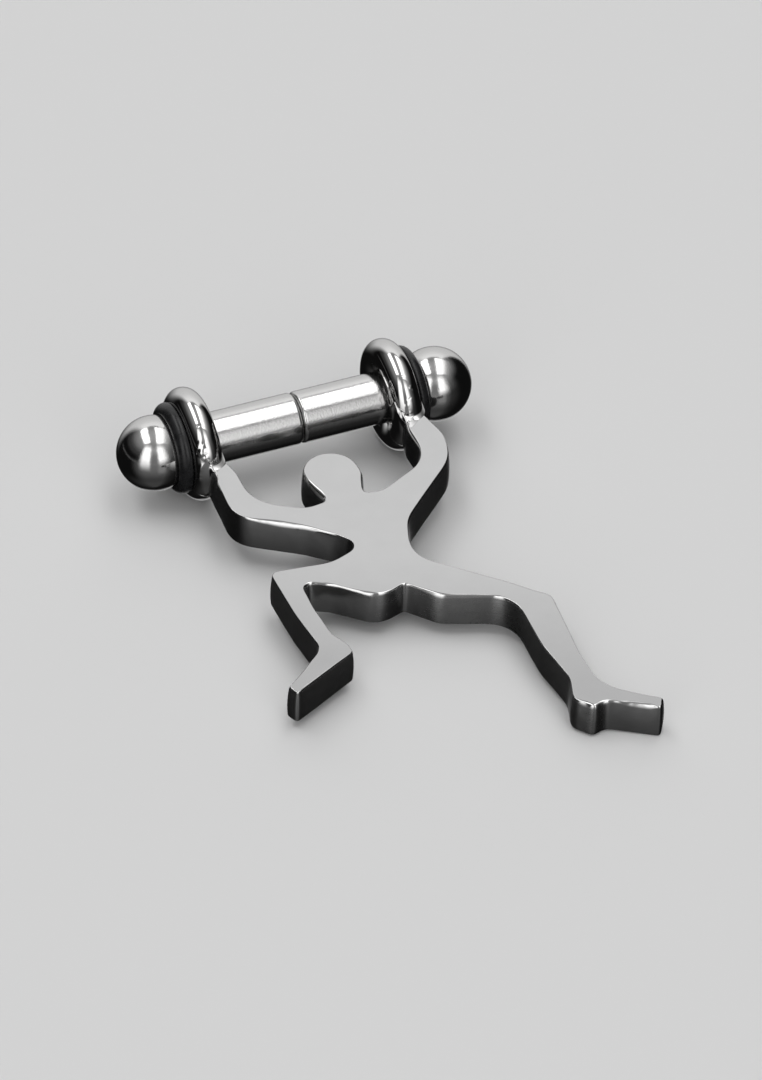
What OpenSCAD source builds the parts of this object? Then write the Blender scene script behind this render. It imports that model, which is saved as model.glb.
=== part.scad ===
// Pincher for body jewellery: a climbing figure cut from plate hangs by two
// welded rings from a bar of two magnet barrels that meet end to end.
// Millimetres. X runs along the bar, the figure lies toward -Y, Z is up and
// the surface that it lies on is z = 0. x = 0 is where the barrels meet.

/* [Bar] */
// Diameter of each magnet barrel
barrel_d = 7; // [6:0.1:7.5]
// Diameter of the end balls
ball_d = 10; // [9:0.1:11]
// Distance between the ball centres
ball_spacing = 39.5; // [38.5:0.1:41]
// Rounding at the meeting ends of the barrels
barrel_edge = 0.5; // [0.2:0.1:1]
// Gap between the two barrel faces
face_gap = 0.1; // [0.05:0.05:0.3]
// How far the bar sits to the right of the middle of the rings
bar_shift = 0.45; // [0:0.05:0.6]

/* [Rings] */
// Wire diameter of the rings
wire_d = 4; // [3.4:0.1:4.4]
// Distance between the two rings, centre to centre
ring_spacing = 28.1; // [27.6:0.1:28.6]
// Radial play of the barrel in its ring
ring_play = 0.08; // [0.04:0.01:0.1]
// Height of the weld metal over the wire, where the hands meet the rings
weld_h = 0.45; // [0.3:0.05:0.6]
// How far above the bar's level the weld sits, in degrees round the ring
weld_angle = 8; // [0:1:20]

/* [O-rings] */
// Thickness of the rubber
rubber_d = 2.5; // [2:0.1:2.7]
// Outer diameter of the rubber
rubber_od = 12.2; // [11.8:0.1:12.6]
// Distance of the left rubber from the left ball's centre
rubber_left = 2.8; // [2.6:0.05:3.2]
// Distance of the right rubber from the right ball's centre
rubber_right = 3.9; // [3.6:0.05:4.1]

/* [Figure] */
// Thickness of the plate
plate_t = 4.8; // [4:0.1:5.4]
// Tilt of the plate while it lies on its rings and foot, in degrees
plate_tilt = 3.7; // [3:0.1:4.5]
// Steps in each quarter turn of the outline's corners
corner_steps = 12; // [6:1:16]

/* [Hidden] */
$fn = 96;

barrel_r = barrel_d / 2;
ball_r = ball_d / 2;
wire_r = wire_d / 2;
hole_r = barrel_r + ring_play;
ring_r = hole_r + wire_r;
axis_z = ring_r + wire_r;
ball_x = ball_spacing / 2;
socket_r = barrel_r + 0.05;
socket_x = ball_x - 2.4;
rubber_r = rubber_d / 2;
rubber_c = rubber_od / 2 - rubber_r;
gap = 0.03;

// Columns: x, distance down the plate from the bar, corner radius.
// The rows run clockwise from the left hand, seen from above.
left_arm_top = [
    // x,     down, radius
    [ -14.4,     5,  0.3],
    [ -12.4,     5,  0.3],
    [ -11.6,   7.2,  0.8],
    [ -11.2,   9.4,    2],
    [-11.35,  15.3,  5.3],
    [ -5.25,  18.8,  2.8],
    [ -2.95, 18.15,  0.4]];
head = [
    [  -3.8,  14.4,  2.5],
    [  -3.9,   9.4,  3.9],
    [     4,   9.4,  3.9],
    [     4,  15.2,  2.5],
    [  2.75, 18.45,  0.4]];
right_arm = [
    [   4.7,    19,  2.2],
    [ 12.45, 15.15,  4.4],
    [  12.3,   9.3,    2],
    [  13.2,     5,  0.3],
    [  15.2,     5,  0.3],
    [    16,   7.3,  0.8],
    [  16.9,  11.6,    5],
    [ 15.95,  16.4,  7.5],
    [  5.95, 25.65,    6],
    [   3.7,  31.9,  3.9]];
right_leg = [
    [  13.2,  40.7,   20],
    [ 17.55,  45.1,  2.2],
    [ 16.35,  56.5,   15],
    [ 16.35,  62.6,  5.5],
    [  22.9,  67.8,  0.7],
    [  21.5,  69.8,  0.5],
    [  15.6,  66.1,  1.5],
    [  13.7, 66.75,  0.8],
    [  11.6,  64.3,  1.4],
    [  12.8, 60.45,    3],
    [ 11.95,  53.6,    8],
    [  12.4,  44.1,  4.4],
    [   3.8, 40.85,    3],
    [   0.5, 37.05,  0.5]];
left_leg = [
    [ -3.35, 38.35,  3.4],
    [  -8.4, 33.85,    3],
    [ -11.5,  32.3,  0.9],
    [-11.65,    37,   12],
    [-11.35,  42.2,  1.6],
    [ -10.1,  44.6,    2],
    [ -10.1,  46.5,  0.7],
    [ -19.8, 51.35,  0.5],
    [ -20.7,  49.4,  0.7],
    [-14.15,  44.2,  1.6],
    [ -14.8,  37.5,   12],
    [ -14.9, 28.45,  1.2],
    [ -6.45,  29.5,    5]];
left_arm_under = [
    [ -2.05, 27.95,  1.2],
    [  -4.2,  25.2,    3],
    [  -7.3,  22.5,   10],
    [ -15.2,  17.3,  4.4]];

outline = concat(left_arm_top, head, right_arm, right_leg, left_leg, left_arm_under);

function unit(v) = v / norm(v);
function turn(a, b) = acos(max(-1, min(1, a * b)));
function side(a, b) = sign(a[0] * b[1] - a[1] * b[0]);
function spin(v, a) = [v[0] * cos(a) - v[1] * sin(a), v[0] * sin(a) + v[1] * cos(a)];

// The arc that rounds corner p between its neighbours.
function corner(before, p, after, r) =
    let (u = unit(p - before), w = unit(after - p), a = turn(u, w), s = side(u, w),
         start = p - u * r * tan(a / 2),
         centre = start + s * r * [-u[1], u[0]],
         steps = max(1, ceil(a / 90 * corner_steps)))
    a < 0.5 ? [p] :
    [for (i = [0:steps]) centre + spin(start - centre, s * a * i / steps)];

function rounded(rows) =
    let (n = len(rows), flat = [for (q = rows) [q[0], -q[1]]])
    [for (i = [0:n - 1])
        for (p = corner(flat[(i + n - 1) % n], flat[i], flat[(i + 1) % n], rows[i][2])) p];

flat_outline = rounded(outline);
reach = max([for (p = flat_outline) -p[1]]);
// Height of the plate's back over the bar's axis, square to the plate. It sets
// the plate down so that its lowest edge and both rings meet z = 0.
plate_low = (reach * sin(plate_tilt) - axis_z) / cos(plate_tilt);
// The part is centred on its box: the middle of the bar in X, and in Y the
// middle between the backs of the rings and the tip of the far foot.
far_y = reach * cos(plate_tilt) + (plate_low + plate_t) * sin(plate_tilt);
shift_y = (far_y - axis_z) / 2;

module on_axis(x) translate([x, 0, axis_z]) rotate([0, 90, 0]) children();

module ring(x, r = wire_r) on_axis(x) rotate_extrude() translate([ring_r, 0]) circle(r);

module plate()
    translate([0, 0, axis_z]) rotate([plate_tilt, 0, 0]) translate([0, 0, plate_low])
        linear_extrude(plate_t) polygon(flat_outline);

// Weld metal where a hand meets its ring. It stands out from the wire on the
// hand's side only, so that the rubber beside the ring stays clear of it.
module weld(x)
    translate([x, 0, axis_z]) rotate([-weld_angle, 0, 0])
        translate([0, -ring_r - weld_h - 0.1, 0]) sphere(wire_r - 0.1);

module climbing_figure()
    color([0.80, 0.80, 0.81]) translate([-bar_shift, shift_y, 0])
    difference() {
        union() {
            plate();
            for (x = [-ring_spacing / 2, ring_spacing / 2]) {
                ring(x);
                weld(x);
            }
        }
        on_axis(-ring_spacing / 2 - 4) cylinder(r = hole_r, h = ring_spacing + 8);
    }

// One barrel, from its ball's socket to the seam. It is drawn along +X from the seam.
module barrel()
    rotate([0, 90, 0]) rotate_extrude() {
        translate([0, face_gap / 2]) square([barrel_r - barrel_edge, barrel_edge]);
        translate([barrel_r - barrel_edge, face_gap / 2 + barrel_edge]) circle(barrel_edge);
        translate([0, face_gap / 2 + barrel_edge])
            square([barrel_r, socket_x - 0.1 - face_gap / 2 - barrel_edge]);
    }

module ball()
    translate([ball_x, 0, 0]) rotate([0, 90, 0]) rotate_extrude() difference() {
        intersection() {
            circle(ball_r);
            translate([0, -ball_r]) square([ball_r, ball_d]);
        }
        translate([-1, -ball_r - 1]) square([socket_r + 1, ball_r + 1 - 2.4]);
    }

// Rubber squeezed between the ball and the welded ring, drawn on the +X side.
module o_ring(from_ball, ring_x)
    difference() {
        translate([ball_x - from_ball, 0, 0]) rotate([0, 90, 0])
            rotate_extrude() translate([rubber_c, 0]) circle(rubber_r);
        translate([ball_x, 0, 0]) sphere(ball_r + gap);
        translate([ring_x, 0, 0]) rotate([0, 90, 0])
            rotate_extrude() translate([ring_r, 0]) circle(wire_r + gap);
    }

module at_right() translate([0, shift_y, axis_z]) children();
module at_left() translate([0, shift_y, axis_z]) mirror([1, 0, 0]) children();

module left_barrel() color([0.74, 0.74, 0.75]) at_left() barrel();
module right_barrel() color([0.74, 0.74, 0.75]) at_right() barrel();
module left_ball() color([0.82, 0.82, 0.83]) at_left() ball();
module right_ball() color([0.82, 0.82, 0.83]) at_right() ball();
module left_o_ring() color([0.04, 0.04, 0.04])
    at_left() o_ring(rubber_left, ring_spacing / 2 + bar_shift);
module right_o_ring() color([0.04, 0.04, 0.04])
    at_right() o_ring(rubber_right, ring_spacing / 2 - bar_shift);

climbing_figure();
left_barrel();
left_ball();
left_o_ring();
right_barrel();
right_ball();
right_o_ring();
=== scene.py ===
import math

import bmesh
import bpy
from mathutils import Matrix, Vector, noise


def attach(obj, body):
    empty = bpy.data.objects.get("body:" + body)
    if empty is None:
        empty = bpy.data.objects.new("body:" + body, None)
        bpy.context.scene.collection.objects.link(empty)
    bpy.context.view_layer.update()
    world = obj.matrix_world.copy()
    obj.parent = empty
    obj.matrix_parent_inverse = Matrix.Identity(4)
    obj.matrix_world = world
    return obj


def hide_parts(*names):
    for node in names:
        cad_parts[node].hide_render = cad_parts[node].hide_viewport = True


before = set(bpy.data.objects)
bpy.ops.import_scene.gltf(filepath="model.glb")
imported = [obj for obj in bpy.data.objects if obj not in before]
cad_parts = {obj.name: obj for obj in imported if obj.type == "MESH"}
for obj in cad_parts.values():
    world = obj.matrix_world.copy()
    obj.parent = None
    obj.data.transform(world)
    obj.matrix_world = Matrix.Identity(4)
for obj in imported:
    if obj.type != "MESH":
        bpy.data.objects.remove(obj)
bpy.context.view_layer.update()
MM = 0.001

# ---------------------------------------------------------------- main sizes, in mm
BAR_Y, BAR_Z = 31.0044, 7.58  # the bar's axis
BARREL_R, BALL_R, BALL_X = 3.5, 5.0, 19.75
SOCKET_R, SOCKET_X, FACE_GAP, BARREL_EDGE = 3.55, 17.35, 0.1, 0.5
WIRE_R, RING_R = 2.0, 5.58
RING_LEFT, RING_RIGHT = -14.5, 13.6
RUBBER_R, RUBBER_C = 1.25, 4.85
RUBBER_LEFT, RUBBER_RIGHT = 2.8, 3.9
PLATE_T, PLATE_LOW, TILT, SHIFT = 4.8, -3.0935, math.radians(3.7), 0.45
CT, ST = math.cos(TILT), math.sin(TILT)

# Outline of the figure: x, distance down the plate from the bar, corner radius
OUTLINE = [
    # left arm, from the hand along its upper side
    (-14.4, 5.0, 0.3), (-12.4, 5.0, 0.3), (-11.6, 7.2, 0.8), (-11.2, 9.4, 2.0), (-11.35, 15.3, 5.3), (-5.25, 18.8, 2.8),
    (-2.95, 18.15, 0.4),
    # head
    (-3.8, 14.4, 2.5), (-3.9, 9.4, 3.9), (4.0, 9.4, 3.9), (4.0, 15.2, 2.5), (2.75, 18.45, 0.4),
    # right arm and the right side of the body
    (4.7, 19.0, 2.2), (12.45, 15.15, 4.4), (12.3, 9.3, 2.0), (13.2, 5.0, 0.3), (15.2, 5.0, 0.3), (16.0, 7.3, 0.8),
    (16.9, 11.6, 5.0), (15.95, 16.4, 7.5), (5.95, 25.65, 6.0), (3.7, 31.9, 3.9),
    # right leg
    (13.2, 40.7, 20.0), (17.55, 45.1, 2.2), (16.35, 56.5, 15.0), (16.35, 62.6, 5.5), (22.9, 67.8, 0.7), (21.5, 69.8, 0.5),
    (15.6, 66.1, 1.5), (13.7, 66.75, 0.8), (11.6, 64.3, 1.4), (12.8, 60.45, 3.0), (11.95, 53.6, 8.0), (12.4, 44.1, 4.4),
    (3.8, 40.85, 3.0), (0.5, 37.05, 0.5),
    # left leg
    (-3.35, 38.35, 3.4), (-8.4, 33.85, 3.0), (-11.5, 32.3, 0.9), (-11.65, 37.0, 12.0), (-11.35, 42.2, 1.6),
    (-10.1, 44.6, 2.0), (-10.1, 46.5, 0.7), (-19.8, 51.35, 0.5), (-20.7, 49.4, 0.7), (-14.15, 44.2, 1.6),
    (-14.8, 37.5, 12.0), (-14.9, 28.45, 1.2), (-6.45, 29.5, 5.0),
    # left arm, its underside
    (-2.05, 27.95, 1.2), (-4.2, 25.2, 3.0), (-7.3, 22.5, 10.0), (-15.2, 17.3, 4.4),
]
# How far the polishing rounded the top edge, and how satin the wall below it is.
# Columns: x, distance down the plate, rounding in mm, satin from 0, a mirror, to 1.
EDGES = [
    # inner side of the left arm, the left shoulder
    (-12.0, 6.3, 0.30, 0.6), (-11.4, 8.6, 0.22, 0.6), (-11.2, 11.0, 0.24, 0.8), (-10.2, 15.3, 0.22, 0.8),
    (-7.0, 17.8, 0.24, 0.8), (-4.4, 18.4, 0.22, 0.8),
    # neck and head
    (-2.95, 17.8, 0.50, 0.5), (-3.2, 16.6, 0.62, 0.5), (-3.6, 15.0, 0.50, 0.6), (-3.85, 13.3, 0.34, 0.7),
    (-3.4, 11.2, 0.28, 0.8), (0.0, 9.4, 0.26, 0.8), (3.4, 11.2, 0.24, 0.8), (3.9, 14.0, 0.26, 0.8),
    (3.5, 16.3, 0.42, 0.6), (2.85, 18.0, 0.34, 0.6), (4.4, 18.8, 0.22, 0.8),
    # inner side of the right arm
    (8.0, 17.3, 0.22, 0.8), (11.3, 15.3, 0.22, 0.8), (12.4, 13.0, 0.30, 0.5), (12.4, 11.0, 0.44, 0.4),
    (12.3, 9.0, 0.42, 0.5), (13.0, 6.2, 0.40, 0.6),
    # outer side of the right arm, the right side of the body
    (15.7, 6.6, 0.26, 0.7), (16.8, 11.4, 0.22, 0.8), (15.4, 16.4, 0.22, 0.9), (10.0, 21.9, 0.24, 1.0),
    (5.8, 26.2, 0.22, 1.0), (4.4, 31.0, 0.16, 1.0), (6.2, 34.2, 0.28, 1.0), (11.0, 38.6, 0.40, 1.0),
    (16.0, 43.6, 0.60, 1.0), (17.3, 46.0, 0.40, 1.0), (16.8, 52.0, 0.30, 1.0), (16.4, 59.0, 0.28, 1.0),
    (17.3, 63.2, 0.36, 1.0), (20.5, 65.9, 0.50, 1.0), (22.6, 67.7, 0.42, 1.0),
    # sole, heel and calf of the right leg
    (22.1, 68.9, 0.36, 0.7), (21.0, 69.5, 0.38, 0.6), (19.2, 68.4, 0.48, 0.6), (17.8, 67.5, 0.42, 0.5),
    (16.9, 66.9, 0.18, 0.5), (15.9, 66.4, 0.24, 0.6), (14.9, 66.4, 0.46, 0.7), (13.8, 66.5, 0.50, 0.7),
    (12.9, 65.9, 0.52, 0.8), (12.1, 64.9, 0.34, 0.9), (11.8, 63.9, 0.18, 1.0), (12.7, 60.4, 0.15, 1.0),
    (12.0, 53.6, 0.18, 0.9), (12.3, 47.5, 0.14, 0.8), (11.8, 45.3, 0.24, 0.8), (10.6, 43.8, 0.32, 0.8),
    (9.5, 43.0, 0.26, 0.7), (7.0, 42.1, 0.34, 0.8), (5.0, 41.3, 0.36, 0.8), (3.9, 40.7, 0.44, 0.8),
    (2.6, 39.4, 0.34, 0.7), (1.3, 38.0, 0.26, 0.7),
    # seat and the underside of the left thigh
    (0.4, 37.2, 0.22, 0.7), (-1.0, 37.6, 0.16, 0.7), (-2.4, 37.9, 0.26, 0.7), (-3.6, 37.8, 0.30, 0.7),
    (-4.6, 37.2, 0.42, 0.6), (-5.6, 36.3, 0.28, 0.5), (-7.2, 34.9, 0.22, 0.4), (-8.8, 33.7, 0.30, 0.4),
    (-10.0, 33.05, 0.22, 0.5), (-11.0, 32.6, 0.42, 0.7), (-11.5, 33.6, 0.20, 1.0),
    # shin, heel and sole of the left leg
    (-11.6, 37.5, 0.20, 1.0), (-11.2, 42.4, 0.22, 1.0), (-10.2, 44.9, 0.24, 1.0), (-10.3, 46.5, 0.16, 1.0),
    (-13.0, 48.0, 0.24, 1.0), (-16.0, 49.5, 0.26, 1.0), (-18.3, 50.6, 0.34, 1.0), (-19.5, 51.1, 0.34, 0.9),
    (-20.2, 50.4, 0.26, 0.9), (-20.4, 49.3, 0.32, 0.9), (-18.0, 47.3, 0.42, 0.9), (-15.5, 45.3, 0.30, 0.9),
    (-14.3, 43.8, 0.18, 0.9), (-14.6, 39.0, 0.14, 0.9), (-14.85, 32.0, 0.12, 0.9), (-14.6, 29.2, 0.18, 0.9),
    (-13.0, 28.75, 0.24, 0.9), (-8.0, 29.3, 0.24, 0.9), (-4.0, 28.7, 0.16, 0.8),
    # left arm, its underside and outer side
    (-2.7, 27.4, 0.12, 0.6), (-3.1, 26.4, 0.16, 0.5), (-4.2, 25.2, 0.22, 0.4), (-5.6, 24.0, 0.25, 0.3),
    (-6.8, 22.9, 0.36, 0.3), (-8.4, 21.7, 0.46, 0.3), (-10.0, 20.7, 0.48, 0.3), (-11.6, 19.7, 0.40, 0.35),
    (-13.2, 18.6, 0.24, 0.4), (-14.3, 17.6, 0.15, 0.5), (-15.1, 15.5, 0.12, 0.6), (-15.1, 12.5, 0.12, 0.6),
    (-14.9, 10.2, 0.18, 0.6), (-14.8, 8.9, 0.55, 0.5), (-14.6, 7.2, 0.40, 0.6),
]


def n3(x, y=0.0, z=0.0):
    return noise.noise(Vector((x, y, z)))


def smooth(a, b, x):
    t = min(1.0, max(0.0, (x - a) / (b - a)))
    return t * t * (3 - 2 * t)


# ---------------------------------------------------------------- camera
ELEV, TURN, DIST = math.radians(38.0), math.radians(22.53), 750.0
fwd = Vector((math.cos(ELEV) * math.sin(TURN), math.cos(ELEV) * math.cos(TURN), -math.sin(ELEV)))
target = Vector((0.44, BAR_Y - 28.3016, BAR_Z))
cam_data = bpy.data.cameras.new("camera")
cam_data.lens = 195.875
cam_data.sensor_width = 36.0
cam_data.clip_start, cam_data.clip_end = 0.02, 50.0
cam = bpy.data.objects.new("camera", cam_data)
bpy.context.scene.collection.objects.link(cam)
cam.location = (target - fwd * DIST) * MM
cam.rotation_mode = "QUATERNION"
cam.rotation_quaternion = fwd.to_track_quat("-Z", "Y")
bpy.context.scene.camera = cam


# ---------------------------------------------------------------- materials
def new_material(name):
    m = bpy.data.materials.new(name)
    m.use_nodes = True
    nt = m.node_tree
    bsdf = nt.nodes["Principled BSDF"]
    return m, nt, bsdf


def node(nt, kind, **values):
    n = nt.nodes.new(kind)
    for k, v in values.items():
        if k in n.inputs:
            n.inputs[k].default_value = v
        else:
            setattr(n, k, v)
    return n


def link(nt, a, b):
    nt.links.new(a, b)


def coords(nt, scale=(1, 1, 1)):
    tc = nt.nodes.new("ShaderNodeTexCoord")
    mp = nt.nodes.new("ShaderNodeMapping")
    mp.inputs["Scale"].default_value = scale
    link(nt, tc.outputs["Object"], mp.inputs["Vector"])
    return mp.outputs["Vector"]


def noise_tex(nt, vec, scale, detail=3.0, rough=0.5):
    n = nt.nodes.new("ShaderNodeTexNoise")
    n.inputs["Scale"].default_value = scale
    n.inputs["Detail"].default_value = detail
    n.inputs["Roughness"].default_value = rough
    link(nt, vec, n.inputs["Vector"])
    return n.outputs["Fac"]


def remap(nt, value, lo, hi, a=0.0, b=1.0):
    n = nt.nodes.new("ShaderNodeMapRange")
    n.inputs["From Min"].default_value = a
    n.inputs["From Max"].default_value = b
    n.inputs["To Min"].default_value = lo
    n.inputs["To Max"].default_value = hi
    link(nt, value, n.inputs["Value"])
    return n.outputs["Result"]


def math_node(nt, op, a, b):
    n = nt.nodes.new("ShaderNodeMath")
    n.operation = op
    for i, v in enumerate((a, b)):
        if isinstance(v, (int, float)):
            n.inputs[i].default_value = v
        else:
            link(nt, v, n.inputs[i])
    return n.outputs["Value"]


def bump(nt, height, strength, distance, after=None):
    n = nt.nodes.new("ShaderNodeBump")
    n.inputs["Strength"].default_value = strength
    n.inputs["Distance"].default_value = distance
    link(nt, height, n.inputs["Height"])
    if after is not None:
        link(nt, after, n.inputs["Normal"])
    return n.outputs["Normal"]


def tint(nt, value, dark, light, a=0.3, b=0.7):
    n = nt.nodes.new("ShaderNodeMix")
    n.data_type = "RGBA"
    link(nt, remap(nt, value, 0.0, 1.0, a, b), n.inputs["Factor"])
    n.inputs["A"].default_value = (*dark, 1)
    n.inputs["B"].default_value = (*light, 1)
    return n.outputs["Result"]


def steel(name, base, rough_lo, rough_hi, smudge=260.0, skin=(2600.0, 0.05), grain=None, grain_amount=0.0, satin=None):
    """Polished or ground steel: the roughness drifts in soft patches, and the bump holds the fine marks of the finish.
    satin is the attribute that says where the finish is satin, with the roughness range there."""
    m, nt, b = new_material(name)
    b.inputs["Metallic"].default_value = 1.0
    vec = coords(nt)
    patches = noise_tex(nt, vec, smudge, 4.0, 0.6)
    link(nt, tint(nt, patches, tuple(c * 0.965 for c in base), base), b.inputs["Base Color"])
    rough = remap(nt, patches, rough_lo, rough_hi, 0.3, 0.7)
    normal = bump(nt, noise_tex(nt, vec, skin[0], 2.0, 0.5), skin[1], 0.00002)
    if grain:
        marks = noise_tex(nt, coords(nt, grain), 1.0, 1.0, 0.5)
        if satin:
            at = nt.nodes.new("ShaderNodeAttribute")
            at.attribute_name = satin[0]
            mask = at.outputs["Fac"]
            pits = noise_tex(nt, vec, 1900.0, 1.0, 0.5)
            normal = bump(nt, math_node(nt, "MULTIPLY", marks, mask), grain_amount, 0.00004, normal)
            wall = remap(nt, math_node(nt, "ADD", math_node(nt, "MULTIPLY", marks, 0.6), math_node(nt, "MULTIPLY", pits, 0.4)),
                         satin[1], satin[2], 0.35, 0.65)
            mx = nt.nodes.new("ShaderNodeMix")
            mx.data_type = "FLOAT"
            link(nt, mask, mx.inputs["Factor"])
            link(nt, rough, mx.inputs["A"])
            link(nt, wall, mx.inputs["B"])
            rough = mx.outputs["Result"]
        else:
            normal = bump(nt, marks, grain_amount, 0.00004, normal)
            rough = math_node(nt, "ADD", rough, remap(nt, marks, -0.02, 0.04, 0.35, 0.65))
    link(nt, rough, b.inputs["Roughness"])
    link(nt, normal, b.inputs["Normal"])
    return m


def brushed_across(m, uv_name, amount):
    """The walls were ground along the outline, so they spread reflections up and down: U runs down the wall."""
    nt, b = m.node_tree, m.node_tree.nodes["Principled BSDF"]
    tan = nt.nodes.new("ShaderNodeTangent")
    tan.direction_type = "UV_MAP"
    tan.uv_map = uv_name
    b.inputs["Anisotropic"].default_value = amount
    link(nt, tan.outputs["Tangent"], b.inputs["Tangent"])


def painted_shade_feet_and_edge_highlight(m, edge_name, edge_highlight_colour):
    """Painted shade: the legs' flat tops are darkened towards the feet, the left leg from higher up, standing in for
    the dimmer reflection there; the rounded edges and walls instead get a lighter steel colour, a painted highlight.
    """
    nt, b = m.node_tree, m.node_tree.nodes["Principled BSDF"]
    was = b.inputs["Base Color"].links[0].from_socket
    sep = nt.nodes.new("ShaderNodeSeparateXYZ")
    link(nt, coords(nt), sep.inputs["Vector"])
    down = math_node(nt, "ADD", math_node(nt, "MULTIPLY", sep.outputs["X"], -0.5), math_node(nt, "MULTIPLY", sep.outputs["Y"], -1.0))
    mx = nt.nodes.new("ShaderNodeMix")
    mx.data_type = "RGBA"
    mx.blend_type = "MULTIPLY"
    # painted shade: the flat top's colour is multiplied by 0.79 towards the feet
    mx.inputs["B"].default_value = (0.79, 0.79, 0.79, 1)
    link(nt, remap(nt, down, 0.0, 1.0, 0.0, 0.023), mx.inputs["Factor"])
    link(nt, was, mx.inputs["A"])
    # painted highlight: a lighter steel colour where the edge mask is set, full on the rounded edges and half on the
    # walls
    at = nt.nodes.new("ShaderNodeAttribute")
    at.attribute_name = edge_name
    both = nt.nodes.new("ShaderNodeMix")
    both.data_type = "RGBA"
    both.inputs["B"].default_value = (*edge_highlight_colour, 1)
    link(nt, at.outputs["Fac"], both.inputs["Factor"])
    link(nt, mx.outputs["Result"], both.inputs["A"])
    link(nt, both.outputs["Result"], b.inputs["Base Color"])


STEEL = (0.66, 0.655, 0.65)
PLATE_STEEL = (0.535, 0.535, 0.535)
mat_plate = steel("figure_steel", PLATE_STEEL, 0.035, 0.065, grain=(300.0, 300.0, 7500.0), grain_amount=0.03,
                  satin=("satin", 0.32, 0.37))
brushed_across(mat_plate, "brush", 0.76)
# painted shade on the legs' flat tops, and a painted highlight colour on the edges and walls
painted_shade_feet_and_edge_highlight(mat_plate, "edge", (0.61, 0.608, 0.606))
mat_ring = steel("ring_steel", STEEL, 0.03, 0.055, smudge=600.0)
mat_ball = steel("ball_steel", STEEL, 0.09, 0.15, smudge=520.0, skin=(3900.0, 0.32))
mat_barrel = steel("barrel_steel", (0.66, 0.655, 0.65), 0.09, 0.14, smudge=900.0, skin=(5000.0, 0.62))


def rubber(name):
    m, nt, b = new_material(name)
    vec = coords(nt)
    dust = noise_tex(nt, vec, 900.0, 5.0, 0.6)
    link(nt, tint(nt, dust, (0.008, 0.008, 0.0085), (0.016, 0.016, 0.017)), b.inputs["Base Color"])
    link(nt, remap(nt, dust, 0.20, 0.34, 0.3, 0.7), b.inputs["Roughness"])
    skin = noise_tex(nt, vec, 5200.0, 3.0, 0.6)
    link(nt, bump(nt, skin, 0.08, 0.00003), b.inputs["Normal"])
    b.inputs["Specular IOR Level"].default_value = 0.36
    return m


mat_rubber = rubber("o_ring_rubber")


# ---------------------------------------------------------------- mesh helpers
def make_object(name, verts, faces, material):
    me = bpy.data.meshes.new(name)
    me.from_pydata([tuple(c * MM for c in v) for v in verts], [], faces)
    me.update()
    me.materials.append(material)
    me.polygons.foreach_set("use_smooth", [True] * len(me.polygons))
    ob = bpy.data.objects.new(name, me)
    bpy.context.scene.collection.objects.link(ob)
    return ob


def on_bar(x, r, a):
    """A point round the bar: a is 0 towards the figure and 90 degrees at the top."""
    return (x, BAR_Y - r * math.cos(a), BAR_Z + r * math.sin(a))


def lathe(name, profile, material, steps=192):
    """Turns (x, r) points round the bar. Points with r = 0 close the ends."""
    verts, faces, rows = [], [], []
    for i, (x, r) in enumerate(profile):
        if r < 1e-6:
            rows.append([len(verts)] * steps)
            verts.append(on_bar(x, 0, 0))
            continue
        rows.append(list(range(len(verts), len(verts) + steps)))
        for k in range(steps):
            a = 2 * math.pi * k / steps
            verts.append(on_bar(x, r, a))
    closed = profile[0][1] > 1e-6 and profile[-1][1] > 1e-6
    pairs = list(zip(rows, rows[1:])) + ([(rows[-1], rows[0])] if closed else [])
    for p, q in pairs:
        for k in range(steps):
            j = (k + 1) % steps
            f = [p[k], q[k], q[j], p[j]]
            f = [v for n, v in enumerate(f) if v not in f[:n]]
            if len(f) > 2:
                faces.append(f)
    ob = make_object(name, verts, faces, material)
    fix_normals(ob)
    return ob


def fix_normals(ob):
    bm = bmesh.new()
    bm.from_mesh(ob.data)
    bmesh.ops.recalc_face_normals(bm, faces=bm.faces)
    bm.to_mesh(ob.data)
    bm.free()


def arc(cx, cr, r, a0, a1, n):
    return [(cx + r * math.cos(math.radians(a0 + (a1 - a0) * i / n)), cr + r * math.sin(math.radians(a0 + (a1 - a0) * i / n)))
            for i in range(n + 1)]


def steps_between(a, b, n):
    return [(a[0] + (b[0] - a[0]) * i / n, a[1] + (b[1] - a[1]) * i / n) for i in range(1, n)]


# ---------------------------------------------------------------- barrels and balls
def barrel(name, sgn):
    g, e, end = FACE_GAP / 2, BARREL_EDGE, SOCKET_X - 0.1
    p = [(g, 0.0), (g, 0.6), (g, 1.6), (g, 2.5), (g, BARREL_R - e - 0.04)]
    p += arc(g + e, BARREL_R - e, e, 180, 90, 14)
    p += [(g + e + 0.04, BARREL_R)]
    p += steps_between((g + e + 0.04, BARREL_R), (end - 0.2, BARREL_R), 60)
    p += [(end - 0.24, BARREL_R)] + arc(end - 0.2, BARREL_R - 0.2, 0.2, 90, 0, 6)
    p += [(end, BARREL_R - 0.24), (end, 2.0), (end, 0.0)]
    return lathe(name, [(sgn * x, r) for x, r in p], mat_barrel, 224)


def ball(name, sgn):
    inner = math.degrees(math.asin(SOCKET_R / BALL_R))
    p = [(SOCKET_X, 0.0), (SOCKET_X, 1.5), (SOCKET_X, SOCKET_R - 0.04), (SOCKET_X - 0.04, SOCKET_R)]
    lip = BALL_X - BALL_R * math.cos(math.radians(inner))
    p += [(lip + 0.10, SOCKET_R), (lip + 0.03, SOCKET_R + 0.02)]
    n = 96
    for i in range(n + 1):
        a = math.radians(180 - (inner + 0.8) + (-(180 - (inner + 0.8))) * i / n)
        p.append((BALL_X + BALL_R * math.cos(a), max(0.0, BALL_R * math.sin(a)) if i < n else 0.0))
    return lathe(name, [(sgn * x, r) for x, r in p], mat_ball, 192)


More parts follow.
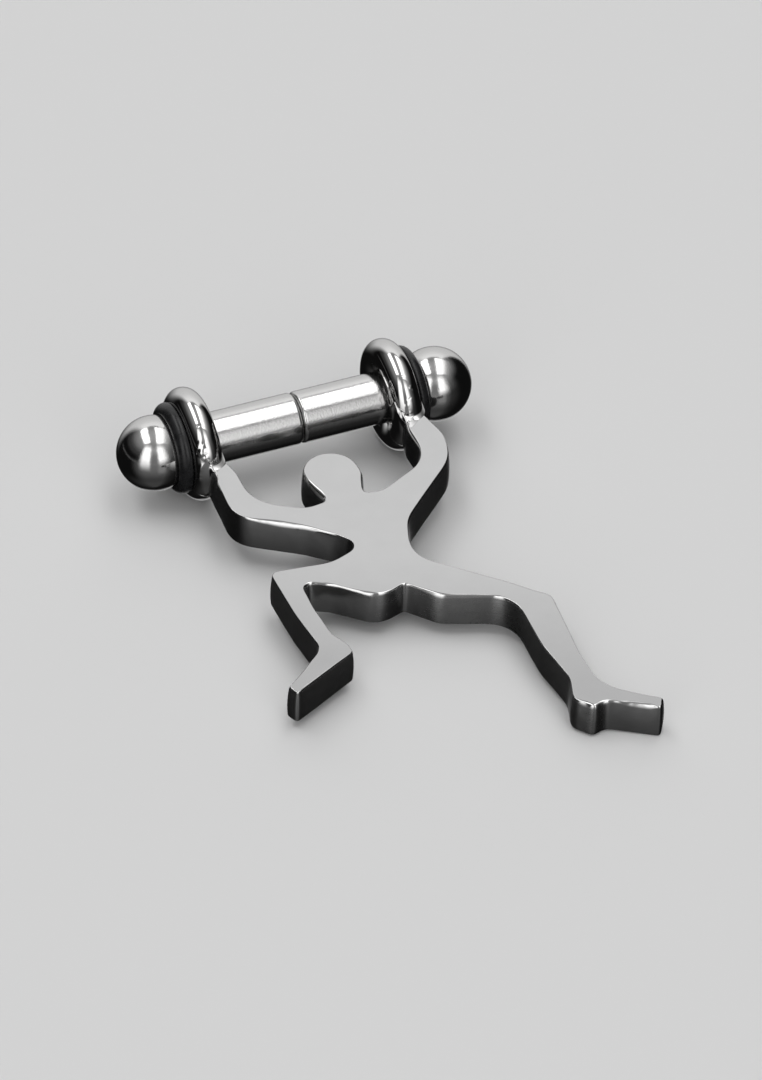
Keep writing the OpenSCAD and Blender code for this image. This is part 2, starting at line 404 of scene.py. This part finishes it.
def o_ring(name, sgn, from_ball, ring_x):
    """Rubber ring whose round section is squeezed flat where the ball and the welded ring press on it."""
    cx = BALL_X - from_ball
    pts = []
    n = 72
    for i in range(n):
        a = 2 * math.pi * i / n
        dx, dr = math.cos(a), math.sin(a)
        best = RUBBER_R
        t = 0.2
        while t < RUBBER_R:
            x, r = cx + dx * t, RUBBER_C + dr * t
            free = min(math.hypot(x - BALL_X, r) - BALL_R - 0.03, math.hypot(x - ring_x, r - RING_R) - WIRE_R - 0.03, r - BARREL_R - 0.09)
            if free < 0:
                best = t - 0.005
                break
            t += 0.005
        pts.append((a, best))
    # round the two corners of each flat a little
    for _ in range(3):
        pts = [(pts[i][0], min(pts[i][1], (pts[i - 1][1] + pts[i][1] * 2 + pts[(i + 1) % n][1]) / 4)) for i in range(n)]
    prof = [(sgn * (cx + math.cos(a) * t), RUBBER_C + math.sin(a) * t) for a, t in pts]
    return lathe(name, prof, mat_rubber, 192)


# ---------------------------------------------------------------- welded rings
# Where the weld runs out on the hand. Columns: distance across the wire, distance from the bar's axis, slope in degrees.
HAND_LEFT = [(-0.10, 7.90, 44.0), (0.35, 8.00, 34.0), (0.80, 7.98, 29.0), (1.30, 7.76, 27.0), (2.00, 7.24, 27.0)]
HAND_RIGHT = [(-1.00, 7.60, 48.0), (-0.20, 7.74, 44.0), (0.35, 8.00, 32.0), (0.90, 7.96, 28.0), (1.40, 7.60, 27.0), (1.90, 7.10, 30.0)]
# Beads of weld metal: angle round the ring, angle round the wire, their size and height in mm
BEADS_LEFT = [
    (27, -34, 0.60, 0.15), (21, -22, 0.44, 0.09), (33, -42, 0.34, 0.06), (38, -28, 0.30, 0.022), (35, -13, 0.26, 0.016),
]
BEADS_RIGHT = [
    (41, 13, 0.26, 0.04), (38.5, 20, 0.20, 0.025), (15, -12, 0.32, 0.035), (9, -12, 0.34, 0.05), (24, -16, 0.28, 0.02),
]
# Ridges and creases of the weld: points round the ring and round the wire, their width and height in mm
RIDGES_LEFT = [
    ([(16, -34), (10, -44), (2, -50), (-8, -52)], 0.30, 0.10),
    ([(44, 60), (36, 66), (28, 70), (18, 66)], 0.20, 0.06),
    ([(53, -30), (55, -12), (54, 4)], 0.14, -0.02),
]
RIDGES_RIGHT = [
    ([(50, -80), (43, -78), (34, -72), (25, -66), (16, -55), (8, -42), (1, -31), (-6, -24)], 0.22, 0.13),
    ([(29, -15), (30, -3), (31.5, 9)], 0.12, -0.03),
    ([(52, -22), (54, -8), (53, 6)], 0.14, -0.02),
]
WELD_TOP = PLATE_LOW + PLATE_T


def between_rows(rows, x, col):
    """A column of a short table at x, with soft bends at its rows."""
    total = 0.0
    for k in range(-4, 5):
        v = min(max(x + 0.09 * k, rows[0][0]), rows[-1][0])
        a, b = next((a, b) for a, b in zip(rows, rows[1:]) if v <= b[0])
        total += a[col] + (b[col] - a[col]) * (v - a[0]) / (b[0] - a[0])
    return total / 9


def near_line(points, ud, wd):
    """Distance in mm from a line drawn on the wire, and how far along it, in mm."""
    best, along, run = 1e9, 0.0, 0.0
    for (u0, w0), (u1, w1) in zip(points, points[1:]):
        ax, ay, bx, by = u0 * 0.131, w0 * 0.035, u1 * 0.131, w1 * 0.035
        px, py = ud * 0.131, wd * 0.035
        length = math.hypot(bx - ax, by - ay)
        t = min(1, max(0, ((px - ax) * (bx - ax) + (py - ay) * (by - ay)) / length ** 2))
        d = math.hypot(px - ax - (bx - ax) * t, py - ay - (by - ay) * t)
        if d < best:
            best, along = d, run + t * length
        run += length
    return best, along, run


def ring(name, cx, hand, beads, ridges, seed):
    """The wire, with the weld that joins it to the top of the hand and the beads and creases on it."""
    nw = 180
    turns = [-32.0]
    while turns[-1] < 328.0 - 0.5:
        turns.append(turns[-1] + (0.5 if turns[-1] < 62.0 else 1.0))
    nu = len(turns)

    def wire(ud, w, d=0.0):
        u, r = math.radians(ud), WIRE_R + d
        rr = RING_R + r * math.cos(w)
        return Vector((cx + r * math.sin(w), -rr * math.cos(u), rr * math.sin(u)))

    verts, faces = [], []
    for i in range(nu):
        ud = turns[i] if turns[i] <= 180 else turns[i] - 360
        u = math.radians(ud)
        for k in range(nw):
            w = 2 * math.pi * k / nw
            wd = math.degrees(w)
            wd = wd - 360 if wd > 180 else wd
            out = math.cos(w)
            lump, fine = 0.0, 0.0
            if -20 < ud < 62 and abs(wd) < 100:
                for bu, bw, size, h in beads:
                    du, dw = (ud - bu) * 0.131, (wd - bw) * 0.035
                    q = (du * du + dw * dw) / (size * size)
                    if q < 2.2:
                        one = h * (1 - q / 2.2) ** 2 * (1 + 0.3 * n3(ud * 0.4, wd * 0.11, seed))
                        lump = one if abs(one) > abs(lump) else lump
                for points, width, h in ridges:
                    d, along, whole = near_line(points, ud, wd)
                    if d < 2.4 * width:
                        one = h * math.exp(-(d / width) ** 2) * smooth(-0.1, 0.5, along) * smooth(whole + 0.1, whole - 0.5, along)
                        one *= 1 + 0.28 * n3(along * 1.5, h * 30, seed + 9)
                        lump = one if abs(one) > abs(lump) else lump
                fine = 0.007 * n3(ud * 0.4, wd * 0.11, seed + 4) * min(1.0, abs(lump) * 22)
            d = lump + fine + 0.005 * n3(u * 2.2, math.cos(w) * 1.3, seed + math.sin(w) * 1.3)
            # nothing stands out on the bore side
            d *= smooth(-0.10, 0.30, out) if d > 0 else smooth(-0.6, 0.2, out)
            p = wire(ud, w, d)
            # the weld fills the corner between the wire and the hand's flat top with a sloping face
            across = WIRE_R * math.sin(w)
            share = smooth(hand[0][0] - 0.45, hand[0][0] + 0.05, across) * smooth(112, 86, wd)
            if share > 0 and -20 < ud < 40:
                flat = math.degrees(math.asin(WELD_TOP / (RING_R + WIRE_R * out))) - math.degrees(TILT)
                y0, slope = -between_rows(hand, across, 1), math.radians(between_rows(hand, across, 2))
                z0 = (y0 + WELD_TOP * ST) / CT * ST + WELD_TOP * CT
                short = (p.y - y0) * math.sin(slope) - (p.z - z0) * math.cos(slope)
                s = short / math.sin(max(0.2, u + slope))
                s = (s + math.sqrt(s * s + 0.0016)) / 2 * share * smooth(flat - 11, flat - 1, ud) * smooth(40, 30, ud)
                p = p + Vector((0, -math.cos(u), math.sin(u))) * s
            verts.append((p.x, BAR_Y + p.y, BAR_Z + p.z))
    for i in range(nu):
        for k in range(nw):
            a, b = i * nw, ((i + 1) % nu) * nw
            faces.append((a + k, a + (k + 1) % nw, b + (k + 1) % nw, b + k))
    ob = make_object(name, verts, faces, mat_ring)
    fix_normals(ob)
    return ob


# ---------------------------------------------------------------- the figure's plate
def outline_points(step=0.14):
    """The outline with its corners rounded, as evenly spaced points that flow from one curve into the next."""
    pts = [Vector((x, -v)) for x, v, _ in OUTLINE]
    n = len(pts)
    raw = []
    for i in range(n):
        a, p, b = pts[i - 1], pts[i], pts[(i + 1) % n]
        u, w = (p - a).normalized(), (b - p).normalized()
        turn = math.acos(max(-1.0, min(1.0, u.dot(w))))
        side = 1.0 if u.x * w.y - u.y * w.x > 0 else -1.0
        r = OUTLINE[i][2]
        start = p - u * r * math.tan(turn / 2)
        centre = start + Vector((-u.y, u.x)) * side * r
        arm = start - centre
        k = max(2, math.ceil(turn * r / 0.05))
        for j in range(k + 1):
            t = side * turn * j / k
            c, s = math.cos(t), math.sin(t)
            raw.append((centre + Vector((arm.x * c - arm.y * s, arm.x * s + arm.y * c)), r))
    total, at = 0.0, [0.0]
    for i in range(len(raw)):
        total += (raw[(i + 1) % len(raw)][0] - raw[i][0]).length
        at.append(total)
    n = round(total / step)
    out, soft, j = [], [], 0
    for i in range(n):
        s = total * i / n
        while at[j + 1] < s:
            j += 1
        t = (s - at[j]) / max(1e-9, at[j + 1] - at[j])
        (p, r0), (q, r1) = raw[j], raw[(j + 1) % len(raw)]
        out.append(p.lerp(q, t))
        long = (q - p).length
        away = min(s - at[j], at[j + 1] - s)
        r = (r0 + (r1 - r0) * t) if long < 0.3 else min(8.0, max(r0 if t < 0.5 else r1, 0.0) + away * 2)
        soft.append(0.5 * min(1.0, max(0.06, r / 4)))
    for _ in range(36):
        out = [p + ((out[i - 1] + out[(i + 1) % n]) / 2 - p) * soft[i] for i, p in enumerate(out)]
    return out


def figure_plate():
    base = outline_points()
    n = len(base)
    inward, bend = [], []
    for i in range(n):
        a, b = base[i - 2], base[(i + 2) % n]
        t = (b - a).normalized()
        inward.append(Vector((t.y, -t.x)))
        u, w = (base[i] - a).normalized(), (b - base[i]).normalized()
        # the rows run clockwise, so a turn to the right bulges outward
        bend.append(max(0.0, -(u.x * w.y - u.y * w.x)) / ((b - a).length / 2))
    length = sum((base[(i + 1) % n] - base[i]).length for i in range(n))
    step = length / n

    # where each row of EDGES sits on the outline, and the rounding and finish between the rows
    marks = []
    for x, v, r, satin in EDGES:
        i = min(range(n), key=lambda k: (base[k].x - x) ** 2 + (base[k].y + v) ** 2)
        marks.append((i, r, satin))
    marks.sort()
    edge, satin = [0.0] * n, [0.0] * n
    for j, (i0, r0, s0) in enumerate(marks):
        i1, r1, s1 = marks[(j + 1) % len(marks)]
        span = (i1 - i0) % n
        for k in range(span):
            t = smooth(0, 1, k / span)
            edge[(i0 + k) % n] = r0 + (r1 - r0) * t
            satin[(i0 + k) % n] = s0 + (s1 - s0) * t

    def cyc(i, wave, seed):
        """Noise along the closed outline, with a wavelength in mm."""
        a = 2 * math.pi * i / n
        rad = length / (2 * math.pi) / wave
        return n3(math.cos(a) * rad, math.sin(a) * rad, seed)

    near = range(-5, 6)
    for i in range(n):
        edge[i] *= 1 + 0.12 * cyc(i, 4.0, 1.0) + 0.03 * cyc(i, 1.6, 5.0)
    # One profile per point: distance in from the outline and height, by the angle of the surface. The rounding is
    # tight at the flat top and opens out as it runs down into the wall, which is slightly bowed.
    HIGH, LOW, FOOT = math.radians(8.0), math.radians(5.0), 0.20
    top = PLATE_LOW + PLATE_T
    shape, x, z = [], 0.0, 0.0
    for k in range(83):
        if k in (0, 8, 16, 24, 31, 38, 45, 51, 57, 63, 68, 73, 77, 80, 82):
            shape.append((90.0 - k, x, z))
        a = math.radians(89.5 - k)
        rho = 1.0 + 1.7 * smooth(52, 10, 89.5 - k)
        x += rho * math.sin(a) * math.radians(1)
        z += rho * math.cos(a) * math.radians(1)
    shape_x, shape_z = shape[-1][1], shape[-1][2]

    # the rounding stays clear of the centre of each tight corner
    sharp = [max(bend[(i + k) % n] for k in near) for i in range(n)]
    most = [max(0.05, (0.80 / max(c, 1e-3) - 0.17) / shape_x) for c in sharp]
    edge = [min(e, m) for e, m in zip(edge, most)]
    for _ in range(14):
        edge = [min((edge[i - 1] + 2 * edge[i] + edge[(i + 1) % n]) / 4, most[i]) for i in range(n)]
    walls = [k / 12 for k in range(1, 12)]
    feet = [math.radians(5 + 85 * k / 5) for k in range(6)]

    def profile(i):
        r = edge[i]
        tall = PLATE_T - r * shape_z - FOOT * (1 - math.sin(LOW))
        big = tall / (math.sin(HIGH) + math.sin(LOW))
        in_top, in_low = big * (1 - math.cos(HIGH)), big * (1 - math.cos(LOW))
        out = [(in_top + r * shape_x + 0.04, 0.0, 90.0)]
        for a, x, z in shape:
            out.append((in_top + r * (shape_x - x), r * z, a))
        start = r * shape_z
        for t in walls:
            down = tall * t
            a = math.asin(max(-1, min(1, math.sin(HIGH) - down / big)))
            out.append((big * (1 - math.cos(a)), start + down, math.degrees(a)))
        for a in feet:
            out.append((in_low + FOOT * (math.cos(LOW) - math.cos(a)), PLATE_T - FOOT * (1 - math.sin(a)), -math.degrees(a)))
        out.append((in_low + FOOT * math.cos(LOW) + 0.04, PLATE_T, -90.0))
        return out

    verts, mask, edge_highlight_mask = [], [], []
    columns = []
    for i in range(n):
        column = []
        for d, down, a in profile(i):
            up_share = smooth(90, 20, a) * smooth(-90, -20, a)
            x, y = base[i]
            wave = 0.030 * n3(x * 0.42, y * 0.42 + down * 0.15, 7.0 + down * 0.25) + 0.012 * n3(x * 1.1, y * 1.1, 20.0 + down * 0.7)
            d += (0.025 + wave) * up_share
            p = base[i] + inward[i] * d
            w = top - down
            # the last value is the mask for the painted highlight colour: full on the rounded edge, half on the wall
            # below it
            column.append(((p.x - SHIFT, BAR_Y + p.y * CT - w * ST, BAR_Z + p.y * ST + w * CT),
                           satin[i] * smooth(60, 12, a) if a > 0 else satin[i], d - down,
                           smooth(89, 72, a) * (1 - 0.5 * smooth(40, 8, a))))
        columns.append(column)
    levels = len(columns[0])
    for r in range(levels):
        for i in range(n):
            verts.append(columns[i][r][0])
            mask.append(columns[i][r][1])
            edge_highlight_mask.append(columns[i][r][3])
    faces = []
    for r in range(levels - 1):
        for i in range(n):
            j = (i + 1) % n
            faces.append((r * n + i, r * n + j, (r + 1) * n + j, (r + 1) * n + i))
    faces.append(tuple(range(n - 1, -1, -1)))
    faces.append(tuple((levels - 1) * n + i for i in range(n)))
    ob = make_object("figure_plate", verts, faces, mat_plate)
    ob.data.attributes.new("satin", "FLOAT", "POINT").data.foreach_set("value", mask)
    ob.data.attributes.new("edge", "FLOAT", "POINT").data.foreach_set("value", edge_highlight_mask)
    # U runs up the wall and V along it, for the direction of the grinding marks
    uv = ob.data.uv_layers.new(name="brush")
    for f in ob.data.polygons:
        wide = len(f.vertices) > 4
        for loop in f.loop_indices:
            v = ob.data.loops[loop].vertex_index
            r, i = divmod(v, n)
            if wide:
                uv.data[loop].uv = (base[i].y * 0.01, base[i].x * 0.01)
            else:
                i = n if i == 0 and f.index % n == n - 1 else i
                uv.data[loop].uv = (columns[i % n][r][2] * 0.01, i * step * 0.01)
    bm = bmesh.new()
    bm.from_mesh(ob.data)
    caps = [f for f in bm.faces if len(f.verts) > 4]
    bmesh.ops.triangulate(bm, faces=caps, ngon_method="BEAUTY")
    bmesh.ops.recalc_face_normals(bm, faces=bm.faces)
    bm.to_mesh(ob.data)
    bm.free()
    return ob


plate = figure_plate()
ring_left = ring("figure_ring_left", RING_LEFT, HAND_LEFT, BEADS_LEFT, RIDGES_LEFT, 2.0)
ring_right = ring("figure_ring_right", RING_RIGHT, HAND_RIGHT, BEADS_RIGHT, RIDGES_RIGHT, 17.0)
for ob in (plate, ring_left, ring_right):
    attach(ob, "figure")
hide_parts("climbing_figure")
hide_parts("climbing_figure")
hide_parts("climbing_figure")

for side, sgn, from_ball, ring_x in (("left", -1, RUBBER_LEFT, -RING_LEFT), ("right", 1, RUBBER_RIGHT, RING_RIGHT)):
    b = barrel(f"{side}_barrel_shell", sgn)
    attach(b, f"{side}_pin")
    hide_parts(f"{side}_barrel")
    s_ = ball(f"{side}_ball_shell", sgn)
    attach(s_, f"{side}_pin")
    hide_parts(f"{side}_ball")
    o = o_ring(f"{side}_o_ring_rubber", sgn, from_ball, ring_x)
    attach(o, f"{side}_rubber")
    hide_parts(f"{side}_o_ring")


# ---------------------------------------------------------------- studio
# A plain soft studio, painted on the world by direction: a large pale panel behind the object, two tall windows in
# front of it and two long soft boxes overhead, with dark surroundings. Azimuth 0 is +Y, and it grows towards -X.
world = bpy.data.worlds.new("studio")
bpy.context.scene.world = world
world.use_nodes = True
wt = world.node_tree
bg = wt.nodes["Background"]


def wmath(op, a, b=0.0, c=None):
    n = wt.nodes.new("ShaderNodeMath")
    n.operation = op
    for i, v in enumerate((a, b) if c is None else (a, b, c)):
        if isinstance(v, (int, float)):
            n.inputs[i].default_value = v
        else:
            wt.links.new(v, n.inputs[i])
    return n.outputs["Value"]


def ease(value, a, b, lo=0.0, hi=1.0):
    """Goes smoothly from lo at a to hi at b."""
    n = wt.nodes.new("ShaderNodeMapRange")
    n.interpolation_type = "SMOOTHSTEP"
    if a > b:
        a, b, lo, hi = b, a, hi, lo
    for key, v in (("From Min", a), ("From Max", b), ("To Min", lo), ("To Max", hi)):
        n.inputs[key].default_value = v
    wt.links.new(value, n.inputs["Value"])
    return n.outputs["Result"]


def span(value, a, b, soft):
    return wmath("MULTIPLY", ease(value, a - soft, a + soft), ease(value, b + soft, b - soft))


def product(*terms):
    out = terms[0]
    for t in terms[1:]:
        out = wmath("MULTIPLY", out, t)
    return out


tc = wt.nodes.new("ShaderNodeTexCoord")
sep = wt.nodes.new("ShaderNodeSeparateXYZ")
link(wt, tc.outputs["Generated"], sep.inputs["Vector"])
X, Y, Z = sep.outputs["X"], sep.outputs["Y"], sep.outputs["Z"]
DEG = 180 / math.pi
azimuth = wmath("MULTIPLY", wmath("ARCTAN2", wmath("MULTIPLY", X, -1.0), Y), DEG)
azimuth_front = wmath("WRAP", azimuth, 337.5, -22.5)
elevation = wmath("MULTIPLY", wmath("ARCSINE", Z), DEG)
axis = math.radians(-14)
above = wmath("MAXIMUM", Z, 0.05)
to_right = wmath("MULTIPLY", wmath("ARCTANGENT", wmath("DIVIDE", wmath(
    "ADD", wmath("MULTIPLY", X, math.cos(axis)), wmath("MULTIPLY", Y, math.sin(axis))), above)), DEG)
to_back = wmath("MULTIPLY", wmath("ARCTANGENT", wmath("DIVIDE", wmath(
    "ADD", wmath("MULTIPLY", X, -math.sin(axis)), wmath("MULTIPLY", Y, math.cos(axis))), above)), DEG)
high = ease(elevation, 30, 36)
# the panel's lower edge rises towards its left end
slanted = wmath("SUBTRACT", elevation, ease(azimuth, -12, 10, 0.0, 8.0))
panel = product(ease(azimuth, -58, -50), ease(azimuth, 34, 10), ease(elevation, 57, 50))

lights = [
    # surroundings: nearly black low down, grey towards the top
    product(ease(elevation, 22, 56), 0.30),
    product(ease(elevation, 62, 80), 0.12),
    # the dim ground in front, and its edge at the left
    product(ease(azimuth_front, 86, 134), ease(azimuth_front, 212, 184), ease(elevation, -62, -6, 0.03, 0.18), ease(elevation, 8, -2)),
    product(ease(azimuth_front, 10, 100), ease(azimuth_front, 250, 180), ease(elevation, -42, -70), 0.03),
    product(span(azimuth_front, 42, 106, 8), span(elevation, -2.8, -0.6, 0.8), 0.13),
    product(span(azimuth_front, 30, 112, 8), span(elevation, 16, 50, 6), 0.04),
    # panel behind
    product(panel, ease(slanted, -38, 2), 0.70),
    product(panel, ease(elevation, -4, 34), 0.13),
    # the pale ground behind, which only the far edges see
    product(span(azimuth, -44, -4, 6), ease(elevation, -22, -32), ease(elevation, -75, -55), 0.42),
    # windows in front, with a grey wall between them
    product(ease(azimuth_front, 111, 125), ease(azimuth_front, 151, 142), ease(elevation, 62, 42), ease(elevation, -26, 22), 1.7),
    product(ease(azimuth_front, 169, 177), ease(azimuth_front, 212, 186), ease(elevation, 66, 40), ease(elevation, -6, 18), 1.7),
    product(span(azimuth_front, 170, 192, 5), span(elevation, -28, 2, 8), 0.10),
    product(span(azimuth_front, 140, 180, 6), span(elevation, 2, 50, 6), 0.20),
    # the wall at the right
    product(ease(azimuth_front, 246, 206), ease(azimuth_front, 194, 206), ease(elevation, -4, 26), ease(elevation, 58, 46), 0.15),
    product(ease(azimuth_front, 246, 206), ease(azimuth_front, 194, 206), ease(elevation, -70, -10), ease(elevation, 20, 0), 0.03),
    # soft boxes overhead
    product(ease(to_right, 3.8, 8.4), ease(to_right, 38, 10), span(to_back, -25.5, 29, 2.2), high, 2.05),
    product(ease(to_right, 3.8, 8.4), ease(to_right, 50, 26), span(to_back, -25.5, 29, 2.2), high, 0.32),
    product(ease(to_right, -34, -28), ease(to_right, -11.5, -14.5), span(to_back, -20, 33.5, 2.2), high, 2.3),
]
total = 0.006
for one in lights:
    total = wmath("ADD", one, total)
lp = wt.nodes.new("ShaderNodeLightPath")
mixw = wt.nodes.new("ShaderNodeMix")
mixw.data_type = "RGBA"
link(wt, lp.outputs["Is Camera Ray"], mixw.inputs["Factor"])
link(wt, total, mixw.inputs["A"])
mixw.inputs["B"].default_value = (0.72, 0.72, 0.72, 1)
link(wt, mixw.outputs["Result"], bg.inputs["Color"])
bg.inputs["Strength"].default_value = 1.0

m_floor, nt, b = new_material("floor_pale")
b.inputs["Base Color"].default_value = (0.74, 0.74, 0.74, 1)
b.inputs["Roughness"].default_value = 0.7
b.inputs["Specular IOR Level"].default_value = 0.1
me = bpy.data.meshes.new("floor")
me.from_pydata([(-4, -4, 0), (4, -4, 0), (4, 4, 0), (-4, 4, 0)], [], [(0, 1, 2, 3)])
me.materials.append(m_floor)
floor = bpy.data.objects.new("floor", me)
bpy.context.scene.collection.objects.link(floor)
# The steel mirrors the dark surroundings below the horizon, and not the pale floor.
floor.visible_glossy = False

bpy.context.scene.view_settings.view_transform = "Standard"
